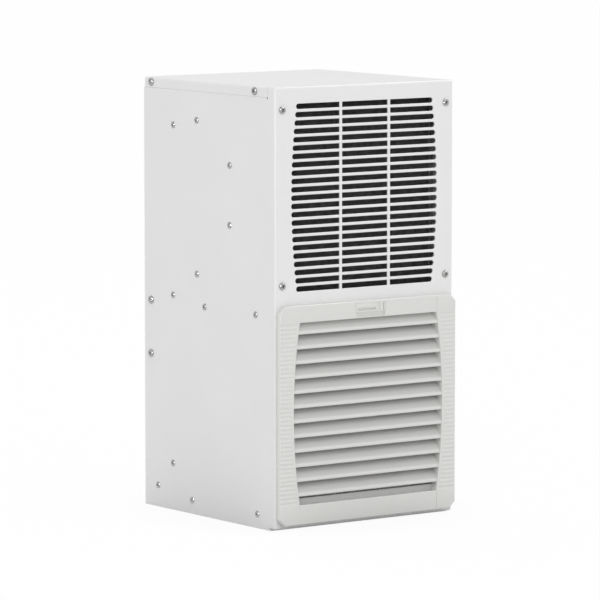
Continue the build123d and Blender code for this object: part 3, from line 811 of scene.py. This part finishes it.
def cover_tunnel(shape):
    """Rounded mouth of the opening and the tunnel behind it."""
    rings = []
    for t in quarter_turn(4):
        outline = louvre_outline(opening_round * (1 - sin(t)))
        half = len(outline) // 2
        bar_depth = bar_recess + (mouth_depth - bar_recess) * (1 - cos(t))
        ring = []
        for start in (0, half):
            arc = outline[start : start + half]
            ring += [(x, mouth_depth * (1 - cos(t)), z) for x, z in arc]
            following = outline[(start + half) % len(outline)]
            ring.append((arc[-1][0], bar_depth, arc[-1][1]))
            ring.append((following[0], bar_depth, following[1]))
        rings.append([(x, cover_front_y + depth, z) for x, depth, z in ring])
    shape.grid(rings, closed=True)
    inner = louvre_outline(0)
    outer = louvre_outline(tunnel_wall)
    rear = cover_front_y + tunnel_depth
    path = [(inner, cover_front_y + mouth_depth), (inner, rear)]
    path += [(outer, rear), (outer, cover_front_y + cover_wall)]
    shape.grid([[(x, y, z) for x, z in outline] for outline, y in path], closed=True)
    border = cover_outline(rim_step + cover_wall)
    points, faces = triangles([border, outer], border, [outer])
    shape.flat(points, faces, cover_front_y + cover_wall)


def filter_cover():
    """The square moulding without its blades."""
    shape = Shape()
    cover_rim(shape)
    cover_face(shape)
    cover_tunnel(shape)
    make_piece("louvred_cover", shape, "cover_plastic", ["filter_cover"])


def rounded(corners, radii, steps=4):
    """A closed polygon with its corners rounded by tangent arcs."""
    result = []
    count = len(corners)
    for i, (corner, radius) in enumerate(zip(corners, radii)):
        here = Vector(corner)
        if radius == 0:
            result.append(tuple(here))
            continue
        before = (Vector(corners[i - 1]) - here).normalized()
        after = (Vector(corners[(i + 1) % count]) - here).normalized()
        half = before.angle(after) / 2
        reach = radius / tan(half)
        centre = here + (before + after).normalized() * (radius / sin(half))
        start = here + before * reach - centre
        end = here + after * reach - centre
        sweep = start.angle_signed(end)
        for k in range(steps + 1):
            angle = sweep * k / steps
            x = start.x * cos(angle) + start.y * sin(angle)
            y = start.y * cos(angle) - start.x * sin(angle)
            result.append(tuple(centre + Vector((x, y))))
    return result


def clipped(section, low, high):
    """The part of a closed section (y, z) between two heights."""
    for limit, sign in ((low, 1), (high, -1)):
        kept = []
        for (y0, z0), (y1, z1) in zip(section, section[1:] + section[:1]):
            d0 = sign * (z0 - limit)
            d1 = sign * (z1 - limit)
            if d0 >= 0:
                kept.append((y0, z0))
            if (d0 > 0 > d1) or (d0 < 0 < d1):
                share = d0 / (d0 - d1)
                kept.append((y0 + (y1 - y0) * share, limit))
        section = kept
    return section


def blade_section(nose_y, nose_z):
    """Closed section (y, z) of a blade: a rounded nose and a curve that rises to the rear."""
    nose_height = 2.8
    bow_y, bow_z = 6.4, 13.2
    end_y, end_z = 15, 19
    under_start = 2.2
    under_rise = 17
    steps = 8
    upper = []
    lower = []
    for step in range(steps + 1):
        t = step / steps
        y = 2 * t * (1 - t) * bow_y + t * t * end_y
        z = (1 - t) ** 2 * nose_height + 2 * t * (1 - t) * bow_z + t * t * end_z
        under_y = under_start + y * (end_y - under_start) / end_y
        under_z = (z - nose_height) * under_rise / (end_z - nose_height)
        upper.append((nose_y + y, nose_z + z))
        lower.append((nose_y + under_y, nose_z + under_z))
    corners = [(nose_y, nose_z)] + upper + lower[::-1]
    radii = [1.1, 1.1] + [0] * (2 * steps) + [0.8]
    return clipped(rounded(corners, radii), louvre_low_z - 1, louvre_high_z + 1)


def louvre_blades():
    """Twelve blades whose ends follow the arched sides, and a bar behind the lowest opening."""
    shape = Shape()
    blade_count = 12
    blade_start_z = 22.1
    blade_pitch = 16.95
    bar_front_y = cover_front_y + 8.7
    bar_rear_y = cover_front_y + 10.2
    bar_high_z = 35.8

    def end_x(z):
        """Half a blade's length at a height, with 1 mm that sinks into the tunnel's wall."""
        return arc_half_width(louvre_half_width + 1, louvre_radius, z - louvre_middle_z)

    low_end = end_x(louvre_high_z)
    shape.block((-low_end, bar_front_y, louvre_low_z - 1), (low_end, bar_rear_y, bar_high_z))
    for blade in range(1, blade_count + 1):
        section = blade_section(cover_front_y + 1.0, blade_start_z + blade * blade_pitch)
        shape.tube([[(side * end_x(z), y, z) for y, z in section] for side in (-1, 1)])
    # The blades and the bar behind them take the blade plastic, whose darkening behind the noses is
    # painted shade
    make_piece("louvre_blades", shape, "cover_plastic", look="blade_plastic")


def release_tab():
    """Blank tab in the pocket of the top bar, with a slanted slot, a recess and a groove."""
    shape = Shape()
    x0, x1, z0, z1 = (tab_box[0] + 0.3, tab_box[1] - 0.3, tab_box[2] + 0.2, tab_box[3] - 0.1)
    cut = 0.8
    bevel = 0.4
    face_depth = 0.1
    rear_depth = pocket_depth - 0.05
    borders = []
    for inset in (0.0, bevel):
        a, b, c, d = x0 + inset, x1 - inset, z0 + inset, z1 - inset
        borders.append(
            [(a + cut, c), (b - cut, c), (b, c + cut), (b, d - cut)]
            + [(b - cut, d), (a + cut, d), (a, d - cut), (a, c + cut)]
        )
    slot = (-16.0, 9.0, 247.9, 251.3)
    recess = (10.4, 16.2, 247.9, 255.6)
    groove = (20.0, 21.6, 246.4, 255.4)

    def level(middle, x, z):
        if in_box(slot, *middle):
            return 0.4 + 1.6 * (slot[3] - z) / (slot[3] - slot[2])
        if in_box(recess, *middle):
            return 1.0
        if in_box(groove, *middle):
            return 1.4
        return bevel if (x, z) in borders[0] else face_depth

    boxes = [box_outline(b) for b in (slot, recess, groove)]
    terrace(shape, borders + boxes, borders[0], [], level)
    shape.wall(borders[0], cover_front_y + bevel, cover_front_y + rear_depth)
    shape.face([(x, cover_front_y + rear_depth, z) for x, z in borders[0]])
    make_piece("blank_release_tab", shape, "cover_plastic", ["release_tab"])


filter_cover()
louvre_blades()
release_tab()


# Coils

def fin_pack(name, node, fin_pitch, tube_rows):
    """Upright fins across a coil with the tubes that run through them."""
    shape = Shape()
    (x0, y0, z0), (x1, y1, z1) = node_box(node)
    thickness = 0.25
    tube_radius = 4.8
    tube_rise = 25.0
    tube_end = 0.2
    count = int((x1 - x0) / fin_pitch)
    for i in range(count + 1):
        x = x0 + thickness / 2 + (x1 - x0 - thickness) * i / count
        shape.block((x - thickness / 2, y0, z0), (x + thickness / 2, y1, z1))
    for row in range(tube_rows):
        y = y0 + (y1 - y0) * (row + 0.5) / tube_rows
        shift = tube_rise / 2 * (row % 2)
        for step in range(int((z1 - z0 - tube_rise) / tube_rise) + 1):
            z = z0 + tube_rise / 2 + shift + step * tube_rise
            if z + tube_radius <= z1:
                ring = turn((y, z), tube_radius, 0, 330, 11)
                shape.tube([[(x, u, w) for u, w in ring] for x in (x0 - tube_end, x1 + tube_end)])
    make_piece(name, shape, slot_of[node], [node], 40.0)


fin_pack("condenser_fin_pack", "condenser_fins", 2.2, 3)
fin_pack("evaporator_fin_pack", "evaporator_fins", 2.0, 2)


# Screws and rivets of both sides, their places (y, z) read from the photo

side_screws = [(118.64, 502.7), (-90.66, 502.2), (120.24, 245.1), (120.64, 181.6)]
side_rivets = [(73.74, 454.4), (25.74, 462.3), (-40.56, 414.2), (-40.36, 345.1)]
side_rivets += [(25.74, 283.3), (74.84, 254.8), (10.34, 246.1), (-91.76, 246.3)]
side_rivets += [(75.94, 55.6), (107.14, 25.7), (36.54, 16.3), (-94.66, 16.5)]

# Radius and height of each kind of head
side_head = (4.7, 2.6)
front_head = (4.2, 2.6)
rear_head = (4.0, 2.2)
rivet_size = (4.0, 1.5)


def facing(axis_x, axis_y, centre):
    """A function from local (u, v, height) to the part, for a fastener that faces a way."""
    cx, cy, cz = centre

    def place(u, v, height):
        return (cx + axis_x * height - axis_y * u, cy + axis_y * height + axis_x * u, cz + v)

    return place


def pan_head(shape, place, radius, height, spin):
    """A pan head with a cross recess, on a polar grid of points."""
    spokes = 48
    levels = [0.0, 0.06, 0.14, 0.22, 0.30, 0.38, 0.46, 0.55, 0.66, 0.77, 0.86, 0.93, 0.98, 1.0]
    arm = 0.115 * radius
    reach = 0.52 * radius
    recess_depth = 0.8 * height
    sunk = 0.3
    rows = []
    for level in levels:
        dome = height * (1 - 0.16 * level**2) * sqrt(max(0.0, 1 - level**10))
        row = []
        for u, v in circle(level * radius, spokes):
            a = abs(u * cos(spin) + v * sin(spin))
            b = abs(v * cos(spin) - u * sin(spin))
            wall = clamp((arm * 1.5 - min(a, b)) / (arm * 0.8))
            end = clamp((reach - max(a, b)) / (reach * 0.35))
            row.append(place(u, v, dome - recess_depth * wall * end))
        rows.append(row)
    rows.append([place(u, v, -sunk) for u, v in circle(radius, spokes)])
    shape.dome(rows)


def rivet_head(shape, place, radius, height):
    """The domed head of a blind rivet, with the hollow where its pin broke off."""
    spokes = 28
    profile = [(0.0, 0.25), (0.24, 0.25), (0.28, 0.80), (0.34, 0.94), (0.42, 0.99)]
    profile += [(0.42 + 0.58 * sin(a), cos(a)) for a in quarter_turn(6)[1:-1]]
    profile += [(1.0, 0.08), (1.0, -0.2)]
    rows = [(circle(radius * r, spokes), h * height) for r, h in profile]
    shape.dome([[place(u, v, level) for u, v in row] for row, level in rows])


def screws(name, axis_x, axis_y, places, head, first_spin, spin_step):
    """Pan heads that face one way, each turned a little further, in degrees."""
    shape = Shape()
    for i, place in enumerate(places):
        spin = radians(first_spin + spin_step * i)
        pan_head(shape, facing(axis_x, axis_y, place), *head, spin)
    make_piece(name, shape, "zinc_plated_steel")


def side_fasteners(side, name):
    """Screws and rivets of one side."""
    x = side * half_width
    places = [(x, y, z) for y, z in side_screws]
    screws(name + "_side_screws", side, 0, places, side_head, 20, 37)
    rivets = Shape()
    for y, z in side_rivets:
        rivet_head(rivets, facing(side, 0, (x, y, z)), *rivet_size)
    make_piece(name + "_side_rivets", rivets, "zinc_plated_steel")


def front_fasteners():
    """Screws of the upper front, seated in their dimples."""
    seat_y = front_y + dimple(screw_hole_radius)
    places = [(x, seat_y, z) for x, z in front_screws]
    screws("front_screws", 0, -1, places, front_head, 15, 31)


side_fasteners(-1, "left")
side_fasteners(1, "right")
front_fasteners()


# Cabinet side: filter mat, fan, inlet nozzle, sealing strips, socket pins and screws

fan_centre_z = 374.0
bell_radius = 56.0
nozzle_sheet = 1.2


def filter_mat():
    """Fleece mat with an uneven, softly quilted face."""
    shape = Shape()
    (x0, y0, z0), (x1, y1, z1) = node_box("filter_mat")
    steps = 54
    face_depth = 0.5
    quilt_depth = 0.45
    edge_depth = 1.4
    sides = []
    for y, sign in ((y0, 1), (y1, -1)):
        rows = []
        for i in range(steps + 1):
            x = x0 + (x1 - x0) * i / steps
            row = []
            for j in range(steps + 1):
                z = z0 + (z1 - z0) * j / steps
                wave = sin(0.37 * x + 1.3 * sin(0.21 * z)) * sin(0.33 * z + 1.1 * sin(0.27 * x))
                within = min(i, steps - i, j, steps - j) > 0
                depth = face_depth + quilt_depth * wave if within else edge_depth
                row.append((x, y + sign * depth, z))
            rows.append(row)
        shape.grid(rows)
        sides.append(rows)
    front, rear = sides
    for end in (0, -1):
        shape.grid([front[end], rear[end]])
        shape.grid([[row[end] for row in front], [row[end] for row in rear]])
    make_piece("fleece_mat", shape, "filter_fleece", ["filter_mat"], 60)


def ring(radius, y):
    """A circle of points round the fan's axis."""
    return [(x, y, fan_centre_z + z) for x, z in circle(radius, 72)]


def impeller_blade(turned, front, rear):
    """Rings of one backward curved blade, from the disc to the cover ring."""
    inner_radius = 50.0
    reach = 16.5
    sweep = radians(27)
    bow = 0.10
    steps = 8
    sides = []
    for half_thickness in (0.75, -0.75):
        points = []
        for step in range(steps + 1):
            share = step / steps
            radius = inner_radius + reach * share
            angle = turned + sweep * share + bow * sin(pi * share)
            around = angle + half_thickness / radius
            x = radius * cos(around)
            z = fan_centre_z + radius * sin(around)
            points.append((x, z, rear - 3.4 - 2.8 * share))
        sides.append(points)
    outline = sides[0] + sides[1][::-1]
    return [[(x, front + 1.3, z) for x, z, y in outline], [(x, y, z) for x, z, y in outline]]


def fan_impeller():
    """Backward curved impeller: a disc with a domed hub, seven blades and a cover ring."""
    shape = Shape()
    blade_count = 7
    (_, front, _), (_, rear, _) = node_box("fan_impeller")
    disc = [(67.0, front + 0.1), (67.0, front + 1.4), (40.0, front + 1.6), (34.0, front + 3.0)]
    disc += [(31.0 * cos(t) + 1, front + 3 + 9 * sin(t)) for t in quarter_turn(6)[1:-1]]
    shape.tube([ring(r, y) for r, y in disc])
    cover = [(67.0, 6.0), (60.0, 4.6), (54.0, 2.8), (50.0, 0.6), (48.0, 0.0)]
    cover += [(47.4, 0.6), (53.0, 4.2), (59.5, 6.2), (66.8, 7.4)]
    shape.grid([ring(r, rear - back) for r, back in cover + cover[:1]], closed=True)
    for blade in range(blade_count):
        shape.tube(impeller_blade(2 * pi * blade / blade_count, front, rear))
    make_piece("impeller", shape, "black_plastic", ["fan_impeller"], 30)


def intake_nozzle():
    """Square plate with a bell mouth that leads the air into the impeller's eye."""
    shape = Shape()
    (x0, front, z0), (x1, rear, z1) = node_box("intake_nozzle")
    outer_round = 10.6
    inner_round = outer_round - nozzle_sheet
    behind = rear - nozzle_sheet

    def flare(round_off, y):
        """Radii and depths of the mouth, from the plate to the throat."""
        angles = quarter_turn(8)
        return [(bell_radius - round_off * sin(t), y - round_off * (1 - cos(t))) for t in angles]

    bell = flare(outer_round, rear)
    bell += [(bell_radius - outer_round, front), (bell_radius - inner_round, front)]
    bell += reversed(flare(inner_round, behind))
    shape.grid([ring(r, y) for r, y in bell], closed=True)
    square = box_outline((x0, x1, z0, z1))
    mouth = [(x, z) for x, y, z in ring(bell_radius, 0)]
    points, faces = triangles([square, mouth], square, [mouth])
    for y in (rear, behind):
        shape.flat(points, faces, y)
    shape.wall(square, rear, behind)
    make_piece("bell_mouth", shape, "galvanised_sheet", ["intake_nozzle"], 30)


def soft_strip(shape, start, end, width):
    """A foam strip from start to end (x, z), its outer corners rounded and a little uneven."""
    thickness = 4.0
    round_off = 1.3
    length = dist(start, end)
    along = ((end[0] - start[0]) / length, (end[1] - start[1]) / length)
    half = width / 2
    profile = [(-half, 0.0)]
    for a in quarter_turn(4):
        profile.append((-half + round_off * (1 - cos(a)), thickness - round_off * (1 - sin(a))))
    profile += [(-u, v) for u, v in reversed(profile)]
    rings = []
    count = max(8, int(length / 6))
    for i in range(count + 1):
        place = length * i / count
        sink = 0.14 * sin(place * 0.31) + 0.12 * sin(place * 0.083 + 2)
        points = []
        for u, v in profile:
            u -= 0.1 * u / half * (1 + sin(place * 0.19))
            x = start[0] + along[0] * place - along[1] * u
            z = start[1] + along[1] * place + along[0] * u
            points.append((x, rear_y + v * (1 - 0.06 * (1 + sink)), z))
        rings.append(points)
    shape.tube(rings)


def sealing_strips():
    """Foam strips along the four edges of the cabinet side."""
    shape = Shape()
    upright_x = 118.5
    across_x = 123.4
    for x in (-upright_x, upright_x):
        soft_strip(shape, (x, 11.6), (x, 493.9), 9.9)
    for z, width in ((6.0, 9.9), (500.0, 8.9)):
        soft_strip(shape, (-across_x, z), (across_x, z), width)
    make_piece("sealing_strips", shape, "foam_rubber", ["rear_gasket"], 50)


def socket_pins():
    """Five contact pins on the floor of the supply socket."""
    shape = Shape()
    (x0, _, z0), (x1, rear, z1) = node_box("supply_socket")
    centre_x = (x0 + x1) / 2
    centre_z = (z0 + z1) / 2
    floor_y = rear - 16.0
    pin_pitch = 8.0
    profile = [(1.6, -0.2), (1.6, 8.5), (1.2, 9.5), (0.5, 10)]
    for i in range(5):
        x = centre_x + (i - 2) * pin_pitch
        shape.tube(
            [[(x + u, floor_y + y, centre_z + v) for u, v in circle(r, 16)] for r, y in profile]
        )
    make_piece("socket_pins", shape, "zinc_plated_steel")


def rear_screws():
    """Screws that hold the two rear pans, on both sides of their seam and at their ends."""
    places = [(x, rear_y, z) for x in (-104.0, 104.0, 0.0) for z in (243.0, 261.0)]
    places += [(0.0, rear_y, z) for z in (484.0, 24.0)]
    screws("rear_screws", 0, 1, places, rear_head, 25, 43)


filter_mat()
fan_impeller()
intake_nozzle()
sealing_strips()
socket_pins()
rear_screws()


# Camera at the photograph's viewing angle

def photo_camera():
    """A camera that was fitted to the housing's corners in the photo."""
    azimuth = radians(35.982)
    elevation = radians(6.249)
    distance = 5.3014
    shift_right = 0.0028
    shift_down = 0.00717
    data = bpy.data.cameras.new("photo_camera")
    data.sensor_width = 36.0
    data.lens = 270.55
    camera = new_object("photo_camera", data)
    middle = Vector((0, 0.00225, 0.254))
    camera.rotation_euler = (pi / 2 - elevation, 0, -azimuth)
    from_middle = Vector((shift_right, -shift_down, distance))
    camera.location = middle + camera.rotation_euler.to_matrix() @ from_middle
    bpy.context.scene.camera = camera


# Floor, world and lamps

def pale_floor():
    """Large pale floor, darker round the object as painted shadow, close to white for the camera.
    """
    size = 60.0
    pale = (0.85, 0.85, 0.85)
    # The darker grey is painted shadow on the floor round the object
    dark = (0.44, 0.44, 0.44)
    glow_share = 0.95
    mesh = bpy.data.meshes.new("floor")
    corners = [(x, y, 0) for x, y in box_outline((-size, size, -size, size))]
    mesh.from_pydata(corners, [], [(0, 1, 2, 3)])
    floor = new_object("floor", mesh)
    tree = new_material("floor", pale, 0.8, specular=0.0)
    reach = tree.nodes.new("ShaderNodeVectorMath")
    reach.operation = "LENGTH"
    tree.links.new(object_coordinates(tree), reach.inputs[0])
    # Painted shadow: the floor darkens towards the object, so it also throws less light back onto
    # the object's lower part
    painted_shadow = map_range(tree, reach.outputs["Value"], 0.15, 0.23, smooth=True)
    tint(tree, painted_shadow, (0.0, dark), (1.0, pale))
    glow = add_node(tree, "ShaderNodeEmission", Color=(1, 1, 1, 1), Strength=1.0)
    path = tree.nodes.new("ShaderNodeLightPath").outputs
    mirrored = calculate(tree, "MAXIMUM", path["Is Glossy Ray"], path["Is Transmission Ray"])
    seen = calculate(tree, "MAXIMUM", path["Is Camera Ray"], mirrored)
    mix = tree.nodes.new("ShaderNodeMixShader")
    tree.links.new(map_range(tree, seen, 0.0, 1.0, 0.0, glow_share), mix.inputs[0])
    tree.links.new(tree.nodes["Principled BSDF"].outputs[0], mix.inputs[1])
    tree.links.new(glow.outputs[0], mix.inputs[2])
    tree.links.new(mix.outputs[0], tree.nodes["Material Output"].inputs["Surface"])
    mesh.materials.append(materials["floor"])


def soft_world():
    """White studio light from all round, a little stronger from the front and weaker from above."""
    world = bpy.data.worlds.new("studio")
    bpy.context.scene.world = world
    world.use_nodes = True
    tree = world.node_tree
    background = tree.nodes["Background"]
    background.inputs["Color"].default_value = (1, 1, 1, 1)
    source = tree.nodes.new("ShaderNodeTexCoord")
    split = tree.nodes.new("ShaderNodeSeparateXYZ")
    tree.links.new(source.outputs["Generated"], split.inputs[0])
    spread = map_range(tree, split.outputs["Y"], 0.9, -0.9, 0.70, 0.96, smooth=True)
    rise = map_range(tree, split.outputs["Z"], 0.0, 1.0, 1.3, 1.1)
    strength = calculate(tree, "MULTIPLY", spread, rise)
    tree.links.new(strength, background.inputs["Strength"])


def soft_lamp(name, place, target_z, size, power, gloss_only=False):
    """A square lamp that points at a height on the object's middle line."""
    data = bpy.data.lights.new(name, "AREA")
    data.size = size
    data.energy = power
    lamp = new_object(name, data)
    lamp.location = place
    aim = Vector((0, 0, target_z)) - Vector(place)
    lamp.rotation_euler = aim.to_track_quat("-Z", "Y").to_euler()
    lamp.visible_diffuse = not gloss_only


photo_camera()
pale_floor()
soft_world()
soft_lamp("top_lamp", (0.2, 1.3, 2.9), 0.3, 1.2, 6.0)
soft_lamp("key_lamp", (-1.55, -1.6, 2.2), 0.3, 0.45, 8.0)
# These two only show as a gloss on the rounded bends and the screw heads
soft_lamp("bend_gloss", (-2.4, -1.75, 1.0), 0.35, 0.5, 60.0, gloss_only=True)
soft_lamp("top_bend_gloss", (1.75, -0.35, 2.75), 0.35, 0.5, 33.0, gloss_only=True)

bpy.context.scene.view_settings.view_transform = "Standard"
